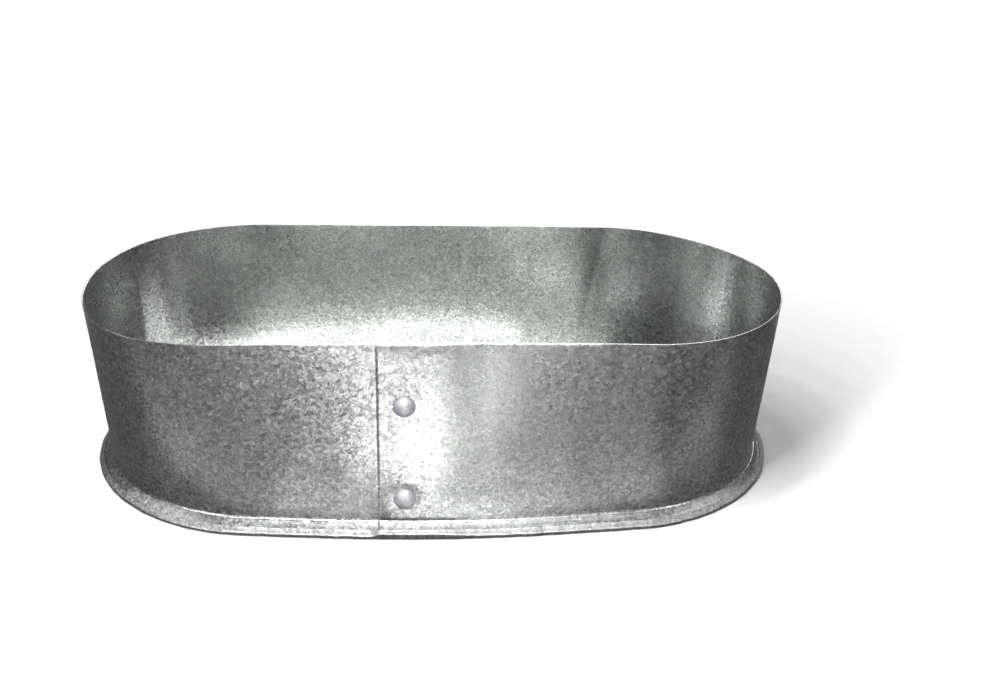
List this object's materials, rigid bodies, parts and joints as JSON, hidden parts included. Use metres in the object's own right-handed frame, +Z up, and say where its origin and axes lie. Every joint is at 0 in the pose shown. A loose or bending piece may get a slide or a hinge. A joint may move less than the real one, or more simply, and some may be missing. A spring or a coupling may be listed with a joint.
{
  "type": "livestock water trough",
  "caption": "Free-standing oval livestock water trough of galvanised sheet, riveted lap seam on the front face and a folded seam round the base.",
  "frame": {"origin": "bottom centre of the bounding box, on the floor under the middle of the base", "axes": "+Z up; +X along the trough's length; -Y out of the front face, which carries the lap seam and its rivets"},
  "size_m": [0.6118, 0.3208, 0.161],
  "materials": {
    "wall_sheet": "hot-dip galvanised, fine zinc spangle, satin",
    "base_sheet": "hot-dip galvanised, fine zinc spangle, hammered edge",
    "rivet": "zinc plated, hammered satin",
    "seam_sealant": "matt grey mastic"
  },
  "bodies": {
    "root": {"wall_sheet": "wall_sheet", "base_sheet": "base_sheet", "rivet_upper": "rivet", "rivet_lower": "rivet", "lap_seam_sealant": "seam_sealant", "base_seam_sealant": "seam_sealant"}
  },
  "joints": []
}
